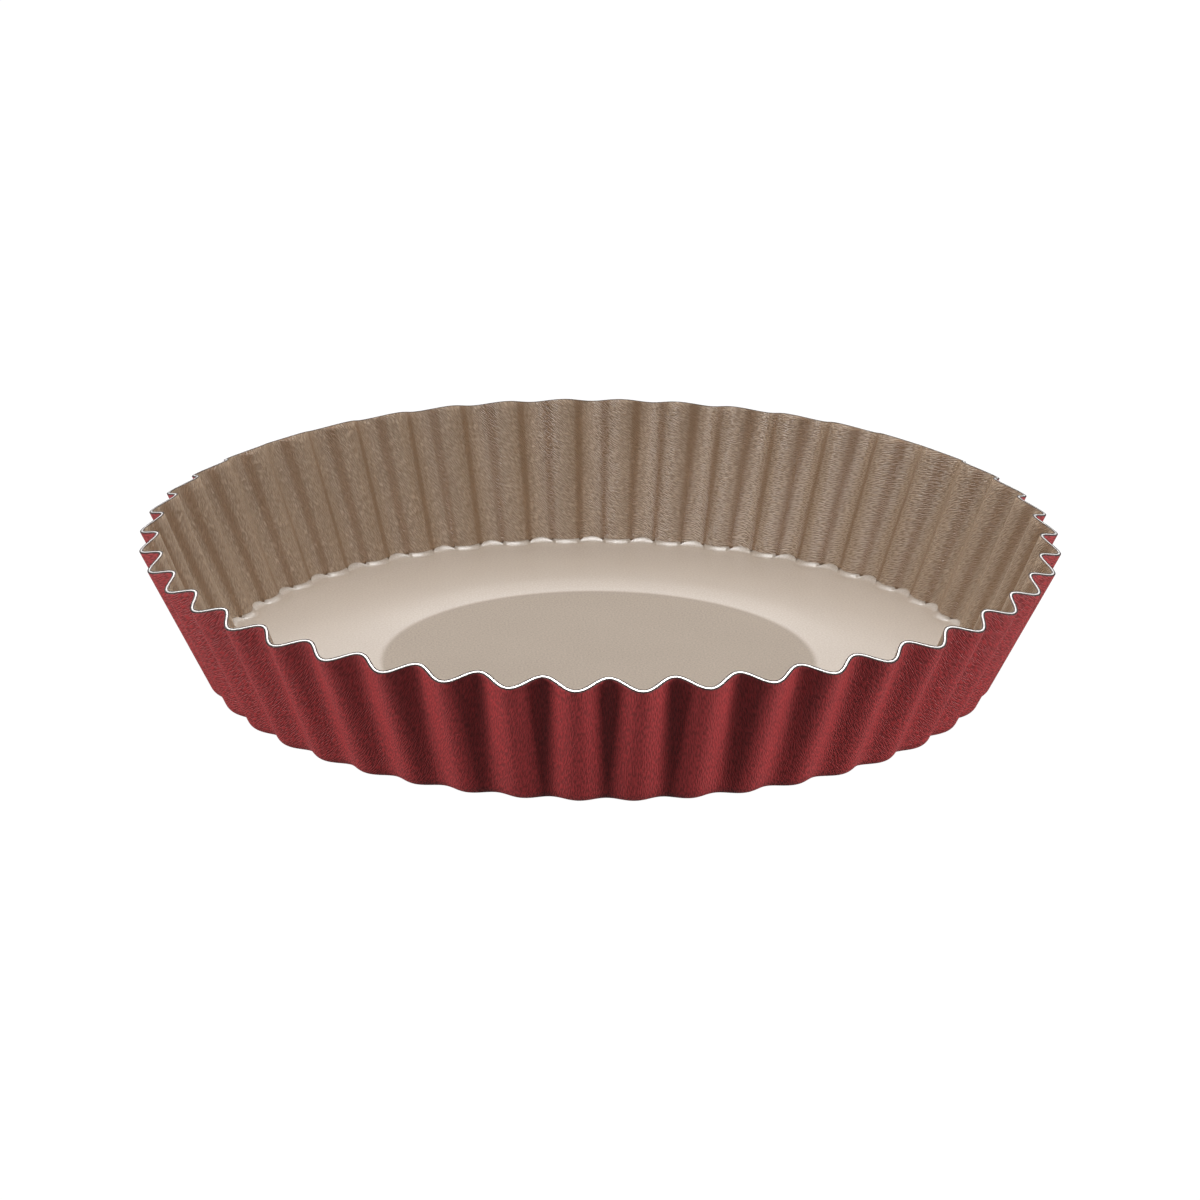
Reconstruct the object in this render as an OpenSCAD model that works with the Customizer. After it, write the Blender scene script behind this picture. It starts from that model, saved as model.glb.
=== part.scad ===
// Fluted tart pan: one drawn aluminium sheet with a non-stick inside and a lacquered outside.
// Millimetres. The origin is the middle of the base on the table, +Z is up,
// and the first flute crest lies on +X.

/* [Rim] */
// Diameter over the flute crests at the rim
rim_diameter = 280; // [250:1:320]
// Height of the rim's middle line above the table
rim_height = 43; // [30:1:55]

/* [Flutes] */
// Number of flutes round the wall
flutes = 45; // [36:1:54]
// Depth of a flute at the rim, from crest to trough across the wall
rim_flute_depth = 5.6; // [2:0.1:6.5]
// Depth of a flute at the foot of the wall
foot_flute_depth = 2.5; // [1:0.1:3.5]
// Lean of the wall from the vertical, in degrees
wall_lean = 24.5; // [12:0.5:28]
// Outside radius of the bend between wall and base
bend_radius = 6; // [4:0.25:8]

/* [Sheet] */
// Thickness of the aluminium sheet
sheet = 1.1; // [0.8:0.05:1.6]
// Thickness of the non-stick layer inside
inner_layer = 0.1; // [0.05:0.01:0.2]
// Thickness of the lacquer outside
outer_layer = 0.1; // [0.05:0.01:0.2]

/* [Base] */
// Width of the flat ring that the pan stands on
foot_ring_width = 8; // [4:0.5:12]
// Diameter of the flat disc pressed down in the middle of the base
disc_diameter = 133; // [100:1:145]
// Depth of that disc below the shoulder round it
disc_depth = 0.8; // [0.4:0.1:1.5]
// Gap between the disc's underside and the table
disc_clearance = 0.4; // [0.2:0.1:1]
// Width of the soft shoulder round the disc
shoulder_width = 11; // [6:0.5:14]

/* [Hidden] */

// Facets: steps round each flute, steps of the bend, and base segments for each flute
flute_steps = 6;
bend_steps = 3;
base_segments = 2;
shoulder_steps = 3;
around = flutes * flute_steps;
base_around = flutes * base_segments;

// Step used to take slopes, in degrees round and in profile parameter along the wall
slope_step = 0.01;

// Distances outwards from the middle of the sheet to the layers' faces
sheet_face = sheet / 2;
outer_face = sheet_face + outer_layer;
inner_face = -sheet_face - inner_layer;

// Middle of the sheet: rim radius, base level and the bend's own radius and centre
rim_radius = rim_diameter / 2 - (rim_flute_depth / 2 + outer_face) * cos(wall_lean);
base_level = outer_face;
bend_middle = bend_radius - outer_face;
bend_z = base_level + bend_middle;
bend_r = rim_radius - (rim_height - bend_z) * tan(wall_lean) - bend_middle / cos(wall_lean);

// Base: inside of the foot ring, shoulder and disc
foot_ring_inside = bend_r - foot_ring_width;
disc_r = disc_diameter / 2;
disc_level = base_level + disc_clearance;

// +1 on a flute's crest, -1 in its trough, at an angle round the pan
function wave(angle) = cos(flutes * angle);

// Eased step: 1 where the bend starts, 0 where the base starts
function fade(part) = 1 - part * part * (3 - 2 * part);

// Middle line of the wall (place 0 at the rim to 1 at the bend) as radius and height
function wall_line(place) = [
    rim_radius + place * (bend_r + bend_middle * cos(wall_lean) - rim_radius),
    rim_height + place * (bend_z - bend_middle * sin(wall_lean) - rim_height)
];

// Middle line of the bend (place 1 at the wall to 2 at the base) as radius and height
function bend_line(place) =
    let (turn = wall_lean + (place - 1) * (90 - wall_lean))
    [bend_r + bend_middle * cos(turn), bend_z - bend_middle * sin(turn)];

// Half depth of the flutes at a place on the wall or the bend
function half_depth(place) =
    (rim_flute_depth + (foot_flute_depth - rim_flute_depth) * min(place, 1)) / 2;

// Point in the middle of the sheet at a place down the profile and an angle round the pan
function middle_point(place, angle) =
    let (
        line = place <= 1 ? wall_line(place) : bend_line(place),
        swing = half_depth(place) * wave(angle),
        radius = line[0] + swing * cos(wall_lean),
        drop = swing * sin(wall_lean) * (place <= 1 ? 1 : fade(place - 1))
    )
    [radius * cos(angle), radius * sin(angle), line[1] - drop];

// Outward direction square to the sheet; straight down where the base starts
function outward(place, angle) =
    place >= 2 ? [0, 0, -1] :
    let (
        down = middle_point(place + slope_step, angle) - middle_point(place - slope_step, angle),
        round = middle_point(place, angle + slope_step) - middle_point(place, angle - slope_step),
        square = cross(down, round)
    )
    square / norm(square);

// Ring of points on the fluted wall or bend, at a distance outwards from the sheet's middle
function fluted_ring(place, distance) = [
    for (i = [0:around - 1])
        let (angle = 360 * i / around)
        middle_point(place, angle) + distance * outward(place, angle)
];

// Plain ring of points on the base
function base_ring(radius, level, distance) = [
    for (i = [0:base_around - 1])
        let (angle = 360 * i / base_around)
        [radius * cos(angle), radius * sin(angle), level - distance]
];

// Places of the fluted rings, from the rim to the base
fluted_places = [0, for (i = [0:bend_steps]) 1 + i / bend_steps];

// Middle line of the base, from the foot ring in to the disc's edge, as radius and height
base_line = [
    [foot_ring_inside, base_level],
    for (i = [0:shoulder_steps])
        let (part = i / shoulder_steps)
        [disc_r + shoulder_width * (1 - part), disc_level + disc_depth * (1 - part * part)]
];

// All points of one face of a layer, ring after ring from the rim to the disc
function face_points(distance) = [
    for (place = fluted_places) each fluted_ring(place, distance),
    for (point = base_line) each base_ring(point[0], point[1], distance)
];

fluted_count = len(fluted_places) * around;
face_count = fluted_count + len(base_line) * base_around;

// Number of the point at step i of fluted ring k, and of base ring k
function on_fluted(k, i) = k * around + i % around;
function on_base(k, i) = fluted_count + k * base_around + i % base_around;

// Two triangles between step i and the next of fluted rings k and k + 1
function wall_faces(k, i) = [
    [on_fluted(k, i), on_fluted(k, i + 1), on_fluted(k + 1, i)],
    [on_fluted(k, i + 1), on_fluted(k + 1, i + 1), on_fluted(k + 1, i)]
];

// Flat face of the foot ring, from several steps of the last fluted ring to one of the base
function foot_face(i) = [
    for (j = [0:around / base_around])
        on_fluted(len(fluted_places) - 1, i * around / base_around + j),
    on_base(0, i + 1),
    on_base(0, i)
];

// Outward faces of one side of a layer: wall and bend, foot ring, base and disc
side_faces = [
    for (k = [0:len(fluted_places) - 2], i = [0:around - 1]) each wall_faces(k, i),
    for (i = [0:base_around - 1]) foot_face(i),
    for (k = [0:len(base_line) - 2], i = [0:base_around - 1])
        [on_base(k, i), on_base(k, i + 1), on_base(k + 1, i + 1), on_base(k + 1, i)],
    [for (i = [0:base_around - 1]) on_base(len(base_line) - 1, i)]
];

// Faces of the cut edge at the rim, between the outer and the inner side
edge_faces = [
    for (i = [0:around - 1])
        each [
            [on_fluted(0, i), face_count + on_fluted(0, i), on_fluted(0, i + 1)],
            [on_fluted(0, i + 1), face_count + on_fluted(0, i), face_count + on_fluted(0, i + 1)]
        ]
];

// Closed layer of the pan between two distances outwards from the sheet's middle
module layer(outer, inner) {
    polyhedron(
        points = [each face_points(outer), each face_points(inner)],
        faces = [
            each side_faces,
            for (face = side_faces) [for (i = [len(face) - 1:-1:0]) face_count + face[i]],
            each edge_faces
        ]
    );
}

// Drawn aluminium sheet, bare at the rim's cut edge
module pan_shell() {
    color("#d9dadb") layer(sheet_face, -sheet_face);
}

// Champagne non-stick layer on the whole inside
module inner_coating() {
    color("#b09d88") layer(-sheet_face, inner_face);
}

// Red lacquer on the whole outside, down to the foot ring
module outer_coating() {
    color("#7e2a2e") layer(outer_face, sheet_face);
}

pan_shell();
inner_coating();
outer_coating();
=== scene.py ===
"""Dressed model of a fluted tart pan: red lacquer outside, bare sheet edge, non-stick inside.

The pan is one drawn sheet with a layer on each side. Each layer is one closed surface, worked out
from the same form: a place down the sheet's profile, a distance square to the sheet and an angle
round the pan. All lengths are in metres. The origin is the middle of the base on the table, +Z is
up and the first flute crest lies on +X.
"""

import logging
import math
from dataclasses import dataclass, field
from enum import Enum
from typing import Any

import bpy
import numpy as np
from mathutils import Matrix, Vector


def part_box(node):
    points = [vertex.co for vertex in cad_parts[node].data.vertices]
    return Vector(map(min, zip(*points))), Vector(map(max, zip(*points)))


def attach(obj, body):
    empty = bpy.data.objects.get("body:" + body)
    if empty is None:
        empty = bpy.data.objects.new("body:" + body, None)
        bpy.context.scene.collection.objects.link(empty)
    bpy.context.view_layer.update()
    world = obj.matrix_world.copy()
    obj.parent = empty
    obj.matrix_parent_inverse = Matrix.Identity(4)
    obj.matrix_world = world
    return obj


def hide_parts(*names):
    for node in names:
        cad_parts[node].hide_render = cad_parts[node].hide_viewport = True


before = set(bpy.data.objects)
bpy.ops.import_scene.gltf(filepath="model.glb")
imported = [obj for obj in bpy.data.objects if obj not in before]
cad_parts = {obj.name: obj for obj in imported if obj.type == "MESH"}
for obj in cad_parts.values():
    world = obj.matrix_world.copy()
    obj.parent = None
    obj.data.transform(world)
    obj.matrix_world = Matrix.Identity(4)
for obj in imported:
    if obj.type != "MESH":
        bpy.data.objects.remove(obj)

LOG = logging.getLogger("tart_pan")
MM = 0.001
EDGE_BAND_CORE = 0.4
Number = float | int
Colour = tuple[float, float, float]
WHITE: Colour = (1.0, 1.0, 1.0)


def shades(red: Number, green: Number, blue: Number) -> Colour:
    """Gives a linear colour for display values, by the sRGB curve.

    Args:
        red: Display value from 0 to 255.
        green: Display value from 0 to 255.
        blue: Display value from 0 to 255.

    Returns:
        Linear red, green and blue, from 0 to 1.
    """
    parts = np.array([red, green, blue]) / 255
    linear = np.where(parts <= 0.04045, parts / 12.92, ((parts + 0.055) / 1.055) ** 2.4)
    return tuple(float(part) for part in linear)


def eased(part: np.ndarray) -> np.ndarray:
    """Rises from 0 to 1 with level ends: 3 t squared minus 2 t cubed, held outside 0 to 1."""
    part = np.clip(part, 0, 1)
    return part * part * (3 - 2 * part)


def softer_minimum(first: np.ndarray, second: Number, blend: Number) -> np.ndarray:
    """Gives the lower of two values, rounded where they meet.

    Args:
        first: The first value.
        second: The second value.
        blend: Width of the rounding, in the values' own unit.

    Returns:
        The rounded minimum.
    """
    gap = first - second
    return (first + second - np.sqrt(gap * gap + blend * blend)) / 2


# ---------------------------------------------------------------------------------------------
# Form of the pressed sheet
# ---------------------------------------------------------------------------------------------


@dataclass(frozen=True)
class PanForm:
    """Sizes of the pressed pan, and the surfaces that follow from them.

    A place is 0 at the rim, 1 where the wall meets the bend, 2 where the bend meets the base and
    3 at the pan's axis. A distance is measured outwards from the middle of the sheet.
    """

    rim_diameter: float
    rim_height: float = 43 * MM
    flutes: int = 45
    rim_flute_depth: float = 5.6 * MM
    foot_flute_depth: float = 2.5 * MM
    wall_lean: float = math.radians(24.5)
    bend_radius: float = 6 * MM
    crisp_radius: float = 0.85 * MM
    channel_foot_radius: float = 5.7 * MM
    channel_roundness: float = 0.5
    ridge_foot_radius: float = 5.0 * MM
    ridge_blend: float = 0.1
    crease_turn: float = math.radians(49)
    sheet: float = 1.1 * MM
    layer: float = 0.1 * MM
    foot_ring_width: float = 8 * MM
    disc_diameter: float = 133 * MM
    disc_depth: float = 0.8 * MM
    disc_clearance: float = 0.4 * MM
    shoulder_width: float = 11 * MM
    shoulder_power: float = 1.6
    crease_blend: float = 0.05
    groove_depth: float = 0.09 * MM
    groove_width: float = 1.1 * MM
    slope_step: float = 1e-4
    level_from: float = 2.02

    @property
    def sheet_face(self) -> float:
        """Distance from the sheet's middle to its own faces."""
        return self.sheet / 2

    @property
    def layer_face(self) -> float:
        """Distance from the sheet's middle to the free face of either layer."""
        return self.sheet_face + self.layer

    @property
    def rim_radius(self) -> float:
        """Mean radius of the sheet's middle at the rim."""
        reach = self.rim_flute_depth / 2 + self.layer_face
        return self.rim_diameter / 2 - reach * math.cos(self.wall_lean)

    @property
    def bend_middle(self) -> float:
        """Radius of the bend in the middle of the sheet."""
        return self.bend_radius - self.layer_face

    @property
    def bend_height(self) -> float:
        """Height of the bend's centre."""
        return self.bend_radius

    @property
    def bend_ring(self) -> float:
        """Radius of the ring of bend centres, where the base starts."""
        run = (self.rim_height - self.bend_height) * math.tan(self.wall_lean)
        return self.rim_radius - run - self.bend_middle / math.cos(self.wall_lean)

    @property
    def wall_length(self) -> float:
        """Length of the straight wall from the rim to the bend."""
        top_of_bend = self.bend_height - self.bend_middle * math.sin(self.wall_lean)
        return (self.rim_height - top_of_bend) / math.cos(self.wall_lean)

    def wave(self, angle: np.ndarray) -> np.ndarray:
        """Gives the flutes' swing, +1 on a crest and -1 in a trough: cosine of flutes x angle."""
        return np.cos(self.flutes * angle)

    def base_level(self, radius: np.ndarray) -> np.ndarray:
        """Gives the height of the sheet's middle over the base.

        The base lies level over the foot ring, rises in an eased slope to the shoulder, and then
        drops with a power of the way across the shoulder, to the disc. A soft minimum rounds
        the crease, and a shallow bell-shaped groove runs just inside it.

        Args:
            radius: Distances from the axis.

        Returns:
            Heights, one for each radius.
        """
        shoulder_edge = self.disc_diameter / 2 + self.shoulder_width
        ring_inside = self.bend_ring - self.foot_ring_width
        climb = eased((ring_inside - radius) / (ring_inside - shoulder_edge))
        across = np.clip((shoulder_edge - radius) / self.shoulder_width, 0, None)
        drop = softer_minimum(across**self.shoulder_power, 1.0, self.crease_blend)
        start = softer_minimum(np.zeros(1), 1.0, self.crease_blend)
        lift = self.disc_clearance + self.disc_depth
        off_crease = (radius - self.disc_diameter / 2) / self.groove_width
        groove = self.groove_depth * np.exp(-(off_crease**2))
        return self.layer_face + lift * climb - self.disc_depth * (drop - start) - groove

    def bend(self, swing: np.ndarray, inside: bool) -> tuple[np.ndarray, np.ndarray, np.ndarray]:
        """Gives the two arcs of the bend: one under the wall, one over the base.

        The outside has one radius. Inside, the sheet was pressed sharper: the wall ends in a crisp
        crease, and a wider arc brings it down to the base. The arc is widest in the channels,
        where it ends in a round arch, and even across the ridges; between them it is tight.

        Args:
            swing: The flutes' swing, from -1 on an inside ridge to +1 in an inside channel.
            inside: Whether this is the inside of the sheet.

        Returns:
            Radius of the upper arc, radius of the lower arc, and the slope where they meet.
        """
        turn = np.full(swing.shape, self.crease_turn)
        if not inside:
            radius = np.full(swing.shape, self.bend_middle)
            return radius, radius, turn
        ridge = eased(-swing / self.ridge_blend) * (self.ridge_foot_radius - self.crisp_radius)
        arch = np.clip(swing, 0, None) ** self.channel_roundness
        channel = arch * (self.channel_foot_radius - self.crisp_radius)
        top = np.full(swing.shape, self.crisp_radius)
        return top, self.crisp_radius + ridge + channel, turn

    def profile(
        self, place: np.ndarray, swing: np.ndarray, inside: bool
    ) -> tuple[np.ndarray, np.ndarray]:
        """Gives the sheet's middle line, at places down the profile and a swing of the flutes.

        Wall: a straight line from the rim, which leans out more on a crest, as the flutes are
        deepest at the rim. Bend: two arcs that touch the wall's line and the base. Base: inwards
        to the axis at the base's level, with the flutes fading out over the foot ring.

        Args:
            place: Places from 0 to 3, broadcast against swing.
            swing: The flutes' swing, from -1 to +1.
            inside: Whether the inside's bend is wanted.

        Returns:
            Radius and height.
        """
        rim_half, foot_half = self.rim_flute_depth / 2, self.foot_flute_depth / 2
        lean = self.wall_lean + np.arctan(swing * (rim_half - foot_half) / self.wall_length)
        rim_r = self.rim_radius + rim_half * math.cos(self.wall_lean) * swing
        rim_z = self.rim_height - rim_half * math.sin(self.wall_lean) * swing
        top, foot, turn = self.bend(swing, inside)
        foot_z = self.layer_face + foot
        across = rim_r * np.cos(lean) - rim_z * np.sin(lean) + foot_z * np.sin(lean)
        edge = (across - (foot - top) * np.cos(turn - lean) - top) / np.cos(lean)

        upper_slope = lean + np.clip(2 * place - 2, 0, 1) * (turn - lean)
        upper_r = edge + (foot - top) * np.cos(turn) + top * np.cos(upper_slope)
        upper_z = foot_z - (foot - top) * np.sin(turn) - top * np.sin(upper_slope)
        lower_slope = turn + np.clip(2 * place - 3, 0, 1) * (math.pi / 2 - turn)
        lower_r = edge + foot * np.cos(lower_slope)
        lower_z = foot_z - foot * np.sin(lower_slope)
        on_wall = np.clip(place, 0, 1)
        wall_r = rim_r + on_wall * (upper_r - rim_r)
        wall_z = rim_z + on_wall * (upper_z - rim_z)
        on_base = np.clip(place - 2, 0, 1)
        fading = 1 - eased(self.bend_ring * on_base / self.foot_ring_width)
        base_r = self.bend_ring * (1 - on_base) + (edge - self.bend_ring) * fading

        stretches = [place <= 1, place <= 1.5, place <= 2]
        radius = np.select(stretches, [wall_r, upper_r, lower_r], base_r)
        height = np.select(stretches, [wall_z, upper_z, lower_z], self.base_level(base_r))
        return radius, height

    def middle(self, place: np.ndarray, angle: np.ndarray, inside: bool) -> np.ndarray:
        """Gives points in the middle of the sheet.

        Args:
            place: Places down the profile, broadcast against angle.
            angle: Angles round the pan, in radians.
            inside: Whether the inside's bend is wanted.

        Returns:
            Points, with x, y and z along the last axis.
        """
        place, angle = np.broadcast_arrays(place, angle)
        radius, height = self.profile(place, self.wave(angle), inside)
        return np.stack([radius * np.cos(angle), radius * np.sin(angle), height], -1)

    def outward(self, place: np.ndarray, angle: np.ndarray, inside: bool) -> np.ndarray:
        """Gives directions square to the sheet, from the cross product of its two slopes.

        Past level_from the base is so nearly level that straight down is taken.

        Args:
            place: Places down the profile, broadcast against angle.
            angle: Angles round the pan, in radians.
            inside: Whether the inside's bend is wanted.

        Returns:
            Unit vectors, pointing down under the base and outwards on the wall.
        """
        step = self.slope_step
        safe = np.minimum(place, 3 - 2 * step)
        down = self.middle(safe + step, angle, inside) - self.middle(safe - step, angle, inside)
        round_pan = self.middle(safe, angle + step, inside) - self.middle(safe, angle - step, inside)
        square = np.cross(down, round_pan)
        square /= np.linalg.norm(square, axis=-1, keepdims=True)
        on_base = np.broadcast_to((place > self.level_from)[..., None], square.shape)
        return np.where(on_base, np.array([0.0, 0.0, -1.0]), square)

    def surface(self, place: np.ndarray, distance: float, angle: np.ndarray) -> np.ndarray:
        """Gives points at a distance square to the sheet: the middle plus distance x outward.

        Args:
            place: Places down the profile, broadcast against angle.
            distance: Distance from the sheet's middle, below 0 for the inside.
            angle: Angles round the pan, in radians.

        Returns:
            Points, with x, y and z along the last axis.
        """
        inside = distance < 0
        return self.middle(place, angle, inside) + distance * self.outward(place, angle, inside)

    def blank_radius(self, place: np.ndarray) -> np.ndarray:
        """Gives each place's distance from the middle of the flat blank: the length of profile."""
        on_wall = 1 - np.minimum(place, 1)
        on_bend = 1 - np.clip(place - 1, 0, 1)
        on_base = 1 - np.clip(place - 2, 0, 1)
        arc = self.bend_middle * (math.pi / 2 - self.wall_lean)
        return on_base * self.bend_ring + on_bend * arc + on_wall * self.wall_length


# ---------------------------------------------------------------------------------------------
# Meshes
# ---------------------------------------------------------------------------------------------


@dataclass
class LayerMesh:
    """Closed mesh of one layer, from a closed path of places and distances swung round the axis."""

    form: PanForm
    steps_per_flute: int = 26

    def build(self, name: str, places: np.ndarray, distances: np.ndarray) -> bpy.types.Object:
        """Makes the layer's object, with a map of the flat blank for its finish.

        The path runs from the axis under the base, out and up to the rim, over the edge, and back
        down the inside to the axis. Each row of it is a ring; its two ends close in a fan.

        Args:
            name: Name of the piece.
            places: Places along the path, without the axis itself.
            distances: Distances from the sheet's middle along the path.

        Returns:
            The new object, at the origin.
        """
        around = self.form.flutes * self.steps_per_flute
        angles = np.linspace(0, 2 * np.pi, around, endpoint=False)
        rings = [self.form.surface(np.full(around, place), distance, angles)
                 for place, distance in zip(places, distances)]
        ends = [self.form.surface(np.array([3.0]), distance, np.zeros(1)) * (0.0, 0.0, 1.0)
                for distance in distances[[0, -1]]]
        points = np.concatenate(rings + ends)

        row, column = np.meshgrid(np.arange(len(places) - 1), np.arange(around), indexing="ij")
        after = (column + 1) % around
        quads = np.stack(
            [row * around + column, row * around + after,
             (row + 1) * around + after, (row + 1) * around + column], -1
        ).reshape(-1, 4)
        step = np.arange(around)
        last = (len(places) - 1) * around
        start_fan = np.stack([np.full(around, len(points) - 2), (step + 1) % around, step], -1)
        end_fan = np.stack([np.full(around, len(points) - 1), last + step,
                            last + (step + 1) % around], -1)

        corners = np.concatenate([quads.ravel(), start_fan.ravel(), end_fan.ravel()])
        sizes = np.concatenate([np.full(len(quads), 4), np.full(2 * around, 3)])
        mesh = bpy.data.meshes.new(name)
        mesh.vertices.add(len(points))
        mesh.vertices.foreach_set("co", points.ravel())
        mesh.loops.add(len(corners))
        mesh.loops.foreach_set("vertex_index", corners)
        mesh.polygons.add(len(sizes))
        mesh.polygons.foreach_set("loop_start", np.concatenate([[0], np.cumsum(sizes)[:-1]]))
        mesh.polygons.foreach_set("use_smooth", np.ones(len(sizes), dtype=bool))
        mesh.update(calc_edges=True)
        self._map_blank(mesh, places, angles, corners)
        mesh.validate()
        piece = bpy.data.objects.new(name, mesh)
        bpy.context.collection.objects.link(piece)
        return piece

    def _map_blank(
        self, mesh: bpy.types.Mesh, places: np.ndarray, angles: np.ndarray, corners: np.ndarray
    ) -> None:
        """Lays a UV map of the flat blank: polar points at the blank's radius, in metres.

        Args:
            mesh: Mesh that gets the map.
            places: Places of the mesh's rings.
            angles: Angles of the mesh's columns.
            corners: Vertex of each face corner.
        """
        radius = self.form.blank_radius(places)[:, None]
        flat = np.stack([radius * np.cos(angles), radius * np.sin(angles)], -1).reshape(-1, 2)
        flat = np.concatenate([flat, np.zeros((2, 2))])
        layer = mesh.uv_layers.new(name="blank")
        layer.data.foreach_set("uv", flat[corners].ravel())


def side_places(seen: bool) -> np.ndarray:
    """Gives the places of one side's rings, from near the axis up to the rim.

    Args:
        seen: Whether the side can be seen; a side against the next layer gets fewer rings.

    Returns:
        Places, falling from nearly 3 to just above 0.
    """
    shoulder, slope, bend = (19, 3, 8) if seen else (9, 3, 6)
    disc = 2 + np.array([0.98, 0.6])
    shoulder_and_crease = 2 + np.linspace(0.458, 0.32, shoulder)
    climb = 2 + np.linspace(0.25, 0.07, slope)
    foot_ring = 2 + np.array([0.03])
    lower_arc = np.linspace(2, 1.5, bend)
    upper_arc = np.linspace(1.5, 1, bend)[1:]
    wall = np.array([0.985, 0.96, 0.7, 0.35, 0.04])
    return np.concatenate(
        [disc, shoulder_and_crease, climb, foot_ring, lower_arc, upper_arc, wall]
    )


# ---------------------------------------------------------------------------------------------
# Shader maths
# ---------------------------------------------------------------------------------------------


class Wire:
    """Output socket with Python's operators, each of which adds a Math node."""

    def __init__(self, tree: "NodeTree", socket: bpy.types.NodeSocket) -> None:
        self.tree = tree
        self.socket = socket

    def _math(self, operation: str, *values: Any) -> "Wire":
        """Adds a Math node on the given values."""
        return self.tree.node("ShaderNodeMath", {"operation": operation}, dict(enumerate(values)))

    def __add__(self, other: Any) -> "Wire":
        return self._math("ADD", self, other)

    def __radd__(self, other: Any) -> "Wire":
        return self._math("ADD", other, self)

    def __sub__(self, other: Any) -> "Wire":
        return self._math("SUBTRACT", self, other)

    def __rsub__(self, other: Any) -> "Wire":
        return self._math("SUBTRACT", other, self)

    def __mul__(self, other: Any) -> "Wire":
        return self._math("MULTIPLY", self, other)

    def __rmul__(self, other: Any) -> "Wire":
        return self._math("MULTIPLY", other, self)

    def clamped(self) -> "Wire":
        """Holds the value between 0 and 1."""
        return self.tree.node(
            "ShaderNodeMath", {"operation": "ADD", "use_clamp": True}, {0: self, 1: 0.0}
        )

    def ramp(self, low: Number, high: Number) -> "Wire":
        """Rises smoothly from 0 to 1.

        Args:
            low: Value where the rise starts.
            high: Value where it ends; below low, the ramp runs the other way.

        Returns:
            The ramp's value, held outside the two ends.
        """
        return self.tree.node(
            "ShaderNodeMapRange",
            {"interpolation_type": "SMOOTHSTEP"},
            {"Value": self, "From Min": low, "From Max": high},
        )


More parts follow.
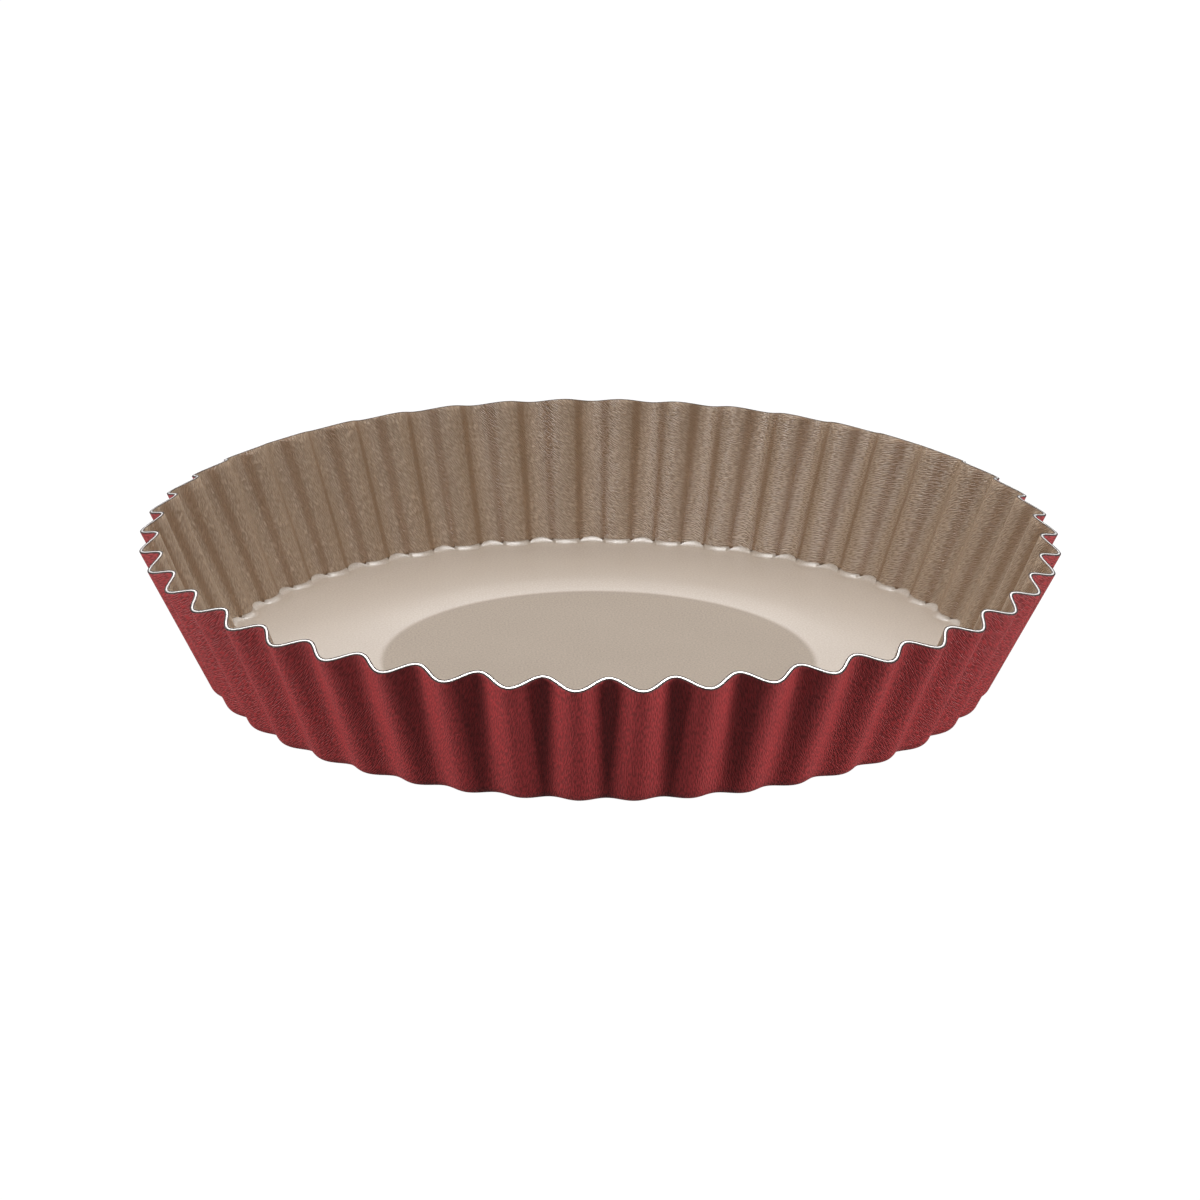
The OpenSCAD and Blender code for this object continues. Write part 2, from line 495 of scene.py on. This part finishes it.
class NodeTree:
    """Node tree of one material or world, with one method that adds any node."""

    def __init__(self, tree: bpy.types.NodeTree) -> None:
        tree.nodes.clear()
        self.tree = tree

    def node(
        self, kind: str, settings: dict[str, Any] | None = None,
        inputs: dict[Any, Any] | None = None, output: Any = 0,
    ) -> Wire:
        """Adds a node, sets its settings first and then the values or links of its sockets.

        Args:
            kind: Blender's type name of the node.
            settings: Properties of the node, by name.
            inputs: Values or wires, by the socket's name or number.
            output: Name or number of the output socket to give back.

        Returns:
            The output socket as a wire.
        """
        made = self.tree.nodes.new(kind)
        for key, value in (settings or {}).items():
            setattr(made, key, value)
        for key, value in (inputs or {}).items():
            socket = made.inputs[key]
            if isinstance(value, Wire):
                self.tree.links.new(value.socket, socket)
            elif isinstance(value, tuple) and len(value) == 3 and socket.type == "RGBA":
                socket.default_value = (*value, 1.0)
            else:
                socket.default_value = value
        return Wire(self, made.outputs[output])

    def mix(self, factor: Any, first: Any, second: Any) -> Wire:
        """Mixes two colours.

        Args:
            factor: 0 for the first colour, 1 for the second.
            first: A colour or wire.
            second: A colour or wire.

        Returns:
            The mixed colour.
        """
        colours = {"Factor": factor, 6: first, 7: second}
        return self.node("ShaderNodeMix", {"data_type": "RGBA"}, colours, output=2)

    def vector(self, operation: str, *values: Any) -> Wire:
        """Adds a Vector Math node on the given values."""
        return self.node("ShaderNodeVectorMath", {"operation": operation}, dict(enumerate(values)))

    def blank_map(self) -> Wire:
        """Gives the point on the flat blank, in metres."""
        return self.node("ShaderNodeUVMap", {"uv_map": "blank"})

    def strokes(self, across: float, along: float, bearing: float) -> Wire:
        """Gives noise drawn out into strokes in one direction of the flat blank.

        Args:
            across: Size of the noise across the strokes, in metres.
            along: Size of the noise along the strokes, in metres.
            bearing: Direction of the strokes from +X, in radians.

        Returns:
            Noise from 0 to 1, mostly near 0.5.
        """
        turned = self.node(
            "ShaderNodeMapping",
            inputs={"Vector": self.blank_map(), "Rotation": (0.0, 0.0, -bearing)},
        )
        scaled = self.vector("MULTIPLY", turned, (1 / along, 1 / across, 1.0))
        inputs = {"Vector": scaled, "Scale": 1.0, "Detail": 0.0}
        return self.node("ShaderNodeTexNoise", inputs=inputs)

    def speckle(self, pitch: float, detail: float = 2.0) -> Wire:
        """Gives even noise over the flat blank.

        Args:
            pitch: Size of the speckles, in metres.
            detail: Octaves of the noise.

        Returns:
            Noise from 0 to 1.
        """
        inputs = {"Vector": self.blank_map(), "Scale": 1 / pitch, "Detail": detail}
        return self.node("ShaderNodeTexNoise", inputs=inputs)

    def middle_distance(self) -> Wire:
        """Gives the distance along the sheet from its middle, in metres."""
        settings = {"operation": "LENGTH"}
        return self.node("ShaderNodeVectorMath", settings, {0: self.blank_map()}, output="Value")

    def rim_distance(self, form: PanForm) -> Wire:
        """Gives the distance down the sheet from its sheared edge, in metres."""
        return float(form.blank_radius(np.zeros(1))[0]) - self.middle_distance()

    def off_edge(self, form: PanForm, width: float) -> Wire:
        """Gives 0 along the sheared edge and 1 off it.

        Args:
            form: The pan's form.
            width: Width of the band along the edge, in metres.

        Returns:
            The share, with a soft change over the last part of the band.
        """
        return self.rim_distance(form).ramp(width * EDGE_BAND_CORE, width)

    def swing(self, form: PanForm) -> Wire:
        """Gives the flutes' swing at the point of the blank, +1 on a crest, -1 in a trough."""
        along, across = [
            self.node("ShaderNodeSeparateXYZ", inputs={0: self.blank_map()}, output=axis)
            for axis in ("X", "Y")
        ]
        angle = self.node("ShaderNodeMath", {"operation": "ARCTAN2"}, {0: across, 1: along})
        return self.node("ShaderNodeMath", {"operation": "COSINE"}, {0: angle * form.flutes})

    def ray_kinds(self) -> tuple[Wire, Wire]:
        """Gives 1 on rays from the camera, and 1 on rays off a shiny or through a clear surface."""
        camera, shiny, clear = [
            self.node("ShaderNodeLightPath", output=f"Is {kind} Ray")
            for kind in ("Camera", "Glossy", "Transmission")
        ]
        return camera, (shiny + clear).clamped()

    def bump(self, height: Wire, strength: float, distance: float) -> Wire:
        """Adds a Bump node for the Normal socket.

        Args:
            height: Height of the relief, from 0 to 1.
            strength: Share of the relief that shows.
            distance: Depth of the full relief, in metres.

        Returns:
            The bent normal.
        """
        inputs = {"Height": height, "Strength": strength, "Distance": distance}
        return self.node("ShaderNodeBump", inputs=inputs)

    def finish_surface(self, **sockets: Any) -> None:
        """Adds the Principled shader and the output.

        Args:
            sockets: Values or wires, by socket name with underscores for spaces.
        """
        inputs = {key.replace("_", " "): value for key, value in sockets.items()}
        shader = self.node("ShaderNodeBsdfPrincipled", inputs=inputs)
        self.node_output(shader)

    def node_output(self, shader: Wire) -> None:
        """Links a shader to the material's output."""
        made = self.tree.nodes.new("ShaderNodeOutputMaterial")
        self.tree.links.new(shader.socket, made.inputs["Surface"])


def new_material(name: str) -> tuple[bpy.types.Material, NodeTree]:
    """Makes an empty material with nodes."""
    material = bpy.data.materials.new(name)
    material.use_nodes = True
    return material, NodeTree(material.node_tree)


# ---------------------------------------------------------------------------------------------
# Finishes
# ---------------------------------------------------------------------------------------------


@dataclass(frozen=True)
class RedLacquer:
    """Burgundy satin lacquer with a fine leather-like grain, drawn out in one direction."""

    red: Colour = shades(166, 52, 54)
    deep_red: Colour = shades(106, 26, 27)
    edge_brown: Colour = shades(58, 34, 34)
    edge_width: float = 0.35 * MM
    grain_across: float = 0.3 * MM
    grain_along: float = 1.8 * MM
    grain_bearing: float = math.radians(90)
    grain_steps: tuple[float, float] = (0.34, 0.66)
    grain_share: float = 0.75
    grain_height: float = 0.07 * MM
    cloud_pitch: float = 14 * MM
    groove_swing: tuple[float, float] = (-0.2, -0.9)
    painted_groove_shade: float = 0.04
    roughness: float = 0.44
    hollow_roughness: float = 0.15
    specular: float = 0.5

    def material(self, form: PanForm) -> bpy.types.Material:
        """Makes the material, with painted shade in the grooves and in the grain's hollows, and
        painted highlight on its tops.
        """
        material, tree = new_material("red_lacquer")
        grain = tree.strokes(self.grain_across, self.grain_along, self.grain_bearing)
        raised = grain.ramp(*self.grain_steps)
        clouds = tree.speckle(self.cloud_pitch)
        # The grain's tone follows its relief: tops lighter, hollows darker. This is a painted
        # highlight and painted shade over the lacquer's own grain.
        tone = (raised * self.grain_share + clouds * (1 - self.grain_share)).clamped()
        # Painted shade: the flutes' troughs are darkened towards deep_red, where shade falls between
        # the crests.
        painted_shade = tree.swing(form).ramp(*self.groove_swing) * self.painted_groove_shade
        skin = tree.mix((tone - painted_shade).clamped(), self.deep_red, self.red)
        skin = tree.mix(painted_shade, skin, self.deep_red)
        off_edge = tree.off_edge(form, self.edge_width)
        tree.finish_surface(
            Base_Color=tree.mix(off_edge, self.edge_brown, skin),
            Roughness=self.roughness + (1 - raised) * self.hollow_roughness,
            Specular_IOR_Level=self.specular,
            Normal=tree.bump(raised, 1.0, self.grain_height),
        )
        return material


@dataclass(frozen=True)
class ChampagneNonStick:
    """Champagne non-stick film: drawn ripples on the wall, fine speckle on the base."""

    champagne: Colour = shades(180, 157, 134)
    brown: Colour = shades(138, 114, 92)
    painted_flank_brown: Colour = shades(136, 105, 77)
    floor_light: Colour = shades(163, 150, 137)
    floor_dark: Colour = shades(143, 130, 117)
    disc_light: Colour = shades(143, 129, 114)
    disc_dark: Colour = shades(119, 106, 92)
    edge_brown: Colour = shades(80, 66, 54)
    edge_width: float = 0.35 * MM
    wall_start: tuple[float, float] = (2.7 * MM, 3.7 * MM)
    foot_start: tuple[float, float] = (-4 * MM, 0.0)
    disc_blend: float = 1.2 * MM
    ripple_across: float = 0.28 * MM
    ripple_along: float = 1.7 * MM
    ripple_bearing: float = math.radians(-35)
    ripple_steps: tuple[float, float] = (0.36, 0.64)
    ripple_height: float = 0.15 * MM
    speckle_pitch: float = 0.6 * MM
    speckle_detail: float = 1.0
    speckle_steps: tuple[float, float] = (0.3, 0.7)
    speckle_height: float = 0.06
    cloud_pitch: float = 25 * MM
    grain_share: float = 0.7
    painted_flank_square: tuple[float, float] = (0.35, 0.0)
    painted_flank_share: float = 0.7
    wall_roughness: float = 0.36
    foot_roughness: float = 0.32
    floor_roughness: float = 0.42
    disc_roughness: float = 0.75
    speckle_roughness: float = 0.04
    specular: float = 0.75

    def material(self, form: PanForm) -> bpy.types.Material:
        """Makes the material: one film, whose tone and gloss differ on disc, ring, foot and wall."""
        material, tree = new_material("champagne_nonstick")
        past_base = tree.middle_distance() - form.bend_ring
        on_wall = past_base.ramp(*self.wall_start)
        at_foot = past_base.ramp(*self.foot_start)
        disc_edge = form.disc_diameter / 2
        blend = self.disc_blend
        off_disc = tree.middle_distance().ramp(disc_edge - blend, disc_edge + blend)

        ripples = tree.strokes(self.ripple_across, self.ripple_along, self.ripple_bearing)
        raised = ripples.ramp(*self.ripple_steps)
        speckle = tree.speckle(self.speckle_pitch, self.speckle_detail).ramp(*self.speckle_steps)
        clouds = tree.speckle(self.cloud_pitch) * (1 - self.grain_share)

        floor_tone = (speckle * self.grain_share + clouds).clamped()
        ring = tree.mix(floor_tone, self.floor_dark, self.floor_light)
        disc = tree.mix(floor_tone, self.disc_dark, self.disc_light)
        # The ripples' tone follows their relief: tops lighter, hollows darker. This is a painted
        # highlight and painted shade over the film's own colour.
        wall_tone = (raised * self.grain_share + clouds).clamped()
        wall = tree.mix(wall_tone, self.brown, self.champagne)
        swing = tree.swing(form)
        # Painted reflection and shade: the flutes' flanks are browner, as if they mirrored the brown
        # wall beside them.
        painted_flank = (swing * swing).ramp(*self.painted_flank_square)
        wall = tree.mix(painted_flank * self.painted_flank_share, wall, self.painted_flank_brown)
        skin = tree.mix(on_wall, tree.mix(off_disc, disc, ring), wall)

        relief = raised * on_wall + speckle * (1 - on_wall) * self.speckle_height
        disc_more = (self.disc_roughness - self.floor_roughness) * (1 - off_disc)
        foot_more = (self.foot_roughness - self.floor_roughness) * at_foot
        wall_more = (self.wall_roughness - self.foot_roughness) * on_wall
        rough = self.floor_roughness + disc_more + foot_more + wall_more
        off_edge = tree.off_edge(form, self.edge_width)
        tree.finish_surface(
            Base_Color=tree.mix(off_edge, self.edge_brown, skin),
            Roughness=rough + speckle * self.speckle_roughness,
            Specular_IOR_Level=self.specular,
            Normal=tree.bump(relief, 1.0, self.ripple_height),
        )
        return material


@dataclass(frozen=True)
class BareAluminium:
    """Bare sheet, sheared at the rim, with fine marks on the cut face."""

    bright: Colour = shades(238, 237, 235)
    dull: Colour = shades(205, 204, 203)
    corner_brown: Colour = shades(74, 60, 56)
    corner_depth: tuple[float, float] = (0.003 * MM, 0.02 * MM)
    mark_pitch: float = 0.35 * MM
    mark_detail: float = 3.0
    mark_height: float = 0.02 * MM
    mark_strength: float = 0.25
    mark_roughness: float = 0.15
    metallic: float = 0.85
    roughness: float = 0.34

    def material(self, form: PanForm) -> bpy.types.Material:
        """Makes the material: bright on the cut face, brown where its corners turn to the sides."""
        material, tree = new_material("bare_aluminium")
        marks = tree.speckle(self.mark_pitch, self.mark_detail)
        corner = tree.rim_distance(form).ramp(*self.corner_depth)
        cut = tree.mix(marks, self.bright, self.dull)
        tree.finish_surface(
            Base_Color=tree.mix(corner, cut, self.corner_brown),
            Metallic=self.metallic,
            Roughness=self.roughness + marks * self.mark_roughness,
            Normal=tree.bump(marks, self.mark_strength, self.mark_height),
        )
        return material


class Finish(Enum):
    """The three finishes of the pan."""

    RED_LACQUER = RedLacquer()
    CHAMPAGNE_NONSTICK = ChampagneNonStick()
    BARE_ALUMINIUM = BareAluminium()


# ---------------------------------------------------------------------------------------------
# The pan
# ---------------------------------------------------------------------------------------------


@dataclass
class TartPan:
    """The pan's three layers, each on its CAD node's place."""

    form: PanForm
    edge_radius: float = 0.36 * MM
    layer_roundness: float = 0.45
    edge_steps: int = 4
    pieces: list[bpy.types.Object] = field(default_factory=list)

    def _rounded_edge(self, outer: float, inner: float, radius: float) -> tuple[np.ndarray, ...]:
        """Gives the path over the rim's edge, with a quarter circle at each corner.

        Args:
            outer: Distance of the side that the path comes up.
            inner: Distance of the side that it goes down.
            radius: Radius of both corners.

        Returns:
            Places and distances along the path.
        """
        turn = np.linspace(0, math.pi / 2, self.edge_steps)
        depth = radius * (1 - np.sin(turn)) / self.form.wall_length
        rise = radius * (1 - np.cos(turn))
        places = np.concatenate([depth, depth[::-1]])
        distances = np.concatenate([outer - rise, (inner + rise)[::-1]])
        return places, distances

    def _layer(self, name: str, outer: float, inner: float, radius: float) -> bpy.types.Object:
        """Builds one closed layer between two distances from the sheet's middle.

        Args:
            name: Name of the piece.
            outer: Distance of its outer side.
            inner: Distance of its inner side.
            radius: Radius of its two corners at the rim.

        Returns:
            The layer's object.
        """
        up = side_places(seen=outer == self.form.layer_face)
        down = side_places(seen=inner == -self.form.layer_face)[::-1]
        edge_places, edge_distances = self._rounded_edge(outer, inner, radius)
        places = np.concatenate([up, edge_places, down])
        distances = np.concatenate(
            [np.full(len(up), outer), edge_distances, np.full(len(down), inner)]
        )
        return LayerMesh(self.form).build(name, places, distances)

    def _dress(self, piece: bpy.types.Object, node: str, finish: Finish) -> None:
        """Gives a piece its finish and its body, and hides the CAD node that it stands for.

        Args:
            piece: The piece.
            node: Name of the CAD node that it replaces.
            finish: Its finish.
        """
        piece.data.materials.append(finish.value.material(self.form))
        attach(piece, "root")
        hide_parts(node)
        self.pieces.append(piece)
        LOG.info("%s: %d faces, stands for %s", piece.name, len(piece.data.polygons), node)

    def build(self) -> None:
        """Builds and dresses the three layers."""
        sheet, free = self.form.sheet_face, self.form.layer_face
        thin = self.form.layer * self.layer_roundness
        lacquer = self._layer("lacquer_outside", free, sheet, thin)
        self._dress(lacquer, "outer_coating", Finish.RED_LACQUER)
        pressing = self._layer("pressed_sheet", sheet, -sheet, self.edge_radius)
        self._dress(pressing, "pan_shell", Finish.BARE_ALUMINIUM)
        film = self._layer("nonstick_inside", -sheet, -free, thin)
        self._dress(film, "inner_coating", Finish.CHAMPAGNE_NONSTICK)


# ---------------------------------------------------------------------------------------------
# Studio
# ---------------------------------------------------------------------------------------------


@dataclass(frozen=True)
class Panel:
    """One soft light that faces the pan. Its place is in metres, with the camera towards -Y."""

    name: str
    place: tuple[float, float, float]
    size: tuple[float, float]
    watts: float


PANELS = (
    Panel("panel_above", (0.0, 0.38, 1.15), (0.55, 0.5), 11.5),
    Panel("panel_back", (0.0, 1.2, 1.04), (1.5, 0.85), 14.0),
    Panel("panel_front", (0.0, -0.3, 0.62), (1.5, 0.22), 3.2),
    Panel("panel_low", (0.0, -0.8, 0.58), (2.4, 0.12), 2.1),
    Panel("panel_right", (1.82, -0.54, 0.03), (0.6, 0.055), 36.0),
    Panel("panel_left", (-1.81, -0.58, 0.03), (0.6, 0.055), 33.0),
)


@dataclass
class Studio:
    """White floor, soft lights and the camera. Reach and aim are in parts of the rim's radius."""

    form: PanForm
    camera_elevation: float = math.radians(18.945)
    camera_bearing: float = math.radians(-90 - 3.31)
    camera_reach: float = 14.517
    aim_below_rim: float = 0.1572
    aim_beside: float = 0.2 * MM
    roll: float = 0.0098
    focal_length: float = 195.4
    sensor_width: float = 36.0
    far_limit: float = 20.0
    backdrop_edge: tuple[float, float] = (-0.2, 0.6)
    backdrop_lift: float = 0.25
    backdrop_strength: float = 1.05
    dim_studio: float = 0.1
    fill: float = 0.25
    shine: float = 0.32
    floor_reach: float = 6.0
    floor_drop: float = 0.2 * MM
    floor_paint: float = 0.12
    floor_strength: float = 1.26
    floor_glow: float = 0.8
    floor_shine: float = 0.12

    def _aim(self) -> Vector:
        """Point on the pan's axis that the camera looks at."""
        return Vector((0, 0, self.form.rim_height - self.aim_below_rim * self.form.rim_radius))

    def add_camera(self) -> None:
        """Adds the camera: a long lens, a little above the rim."""
        flat = math.cos(self.camera_elevation)
        back = Vector((
            flat * math.cos(self.camera_bearing),
            flat * math.sin(self.camera_bearing),
            math.sin(self.camera_elevation),
        ))
        right = Vector((0, 0, 1)).cross(back).normalized()
        up = back.cross(right)
        turned = Matrix((right, up, back)).transposed() @ Matrix.Rotation(self.roll, 3, "Z")
        data = bpy.data.cameras.new("camera")
        data.lens = self.focal_length
        data.sensor_width = self.sensor_width
        data.clip_end = self.far_limit
        camera = bpy.data.objects.new("camera", data)
        reach = self.camera_reach * self.form.rim_radius
        place = self._aim() + back * reach + right * self.aim_beside
        camera.matrix_world = Matrix.Translation(place) @ turned.to_4x4()
        bpy.context.collection.objects.link(camera)
        bpy.context.scene.camera = camera

    def add_floor(self) -> None:
        """Adds the white floor, which glows for the camera and less so in the pan's gloss."""
        reach = self.floor_reach
        corners = [(-reach, -reach), (reach, -reach), (reach, reach), (-reach, reach)]
        mesh = bpy.data.meshes.new("floor")
        mesh.from_pydata([(x, y, -self.floor_drop) for x, y in corners], [], [(0, 1, 2, 3)])
        floor = bpy.data.objects.new("floor", mesh)
        bpy.context.collection.objects.link(floor)
        material, tree = new_material("floor_white")
        paint = tree.node("ShaderNodeBsdfDiffuse", inputs={"Color": (self.floor_paint,) * 3})
        glow = tree.node(
            "ShaderNodeEmission", inputs={"Color": WHITE, "Strength": self.floor_strength}
        )
        camera, shiny = tree.ray_kinds()
        share = camera * self.floor_glow + shiny * self.floor_shine
        mixed = tree.node("ShaderNodeMixShader", inputs={0: share, 1: paint, 2: glow})
        tree.node_output(mixed)
        mesh.materials.append(material)

    def add_world(self) -> None:
        """Adds the white backdrop, which fades to a dim studio behind the camera.

        The camera sees all of it, soft light gets the share fill, and gloss the share shine.
        """
        world = bpy.data.worlds.new("studio")
        world.use_nodes = True
        bpy.context.scene.world = world
        tree = NodeTree(world.node_tree)
        bearing = self.camera_bearing
        towards = (-math.cos(bearing), -math.sin(bearing), self.backdrop_lift)
        looking = tree.node("ShaderNodeTexCoord", output="Generated")
        ahead = tree.node(
            "ShaderNodeVectorMath", {"operation": "DOT_PRODUCT"}, {0: looking, 1: towards}, "Value"
        )
        backdrop = ahead.ramp(*self.backdrop_edge)
        strength = self.dim_studio + backdrop * (self.backdrop_strength - self.dim_studio)
        camera, shiny = tree.ray_kinds()
        shown = strength * (self.fill + camera * (1 - self.fill) + shiny * (self.shine - self.fill))
        back = tree.node("ShaderNodeBackground", inputs={"Color": WHITE, "Strength": shown})
        made = world.node_tree.nodes.new("ShaderNodeOutputWorld")
        world.node_tree.links.new(back.socket, made.inputs["Surface"])

    def add_panel(self, panel: Panel) -> None:
        """Adds one soft panel, turned to the pan and hidden from the camera."""
        data = bpy.data.lights.new(panel.name, "AREA")
        data.shape = "RECTANGLE"
        data.size, data.size_y = panel.size
        data.energy = panel.watts
        light = bpy.data.objects.new(panel.name, data)
        spot = Matrix.Rotation(self.camera_bearing + math.pi / 2, 3, "Z") @ Vector(panel.place)
        turn = (self._aim() - spot).to_track_quat("-Z", "Y")
        light.matrix_world = Matrix.Translation(spot) @ turn.to_matrix().to_4x4()
        light.visible_camera = False
        bpy.context.collection.objects.link(light)

    def build(self) -> None:
        """Adds the camera, the floor, the world and the panels."""
        bpy.context.scene.view_settings.view_transform = "Standard"
        self.add_camera()
        self.add_floor()
        self.add_world()
        for panel in PANELS:
            self.add_panel(panel)


def main() -> None:
    """Builds the pan and the studio."""
    logging.basicConfig(level=logging.INFO, format="%(name)s: %(message)s")
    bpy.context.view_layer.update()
    lowest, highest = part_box("outer_coating")
    form = PanForm(rim_diameter=2 * highest[0])
    LOG.info("pan %.1f mm across", form.rim_diameter / MM)
    TartPan(form).build()
    Studio(form).build()


if __name__ == "__main__":
    main()
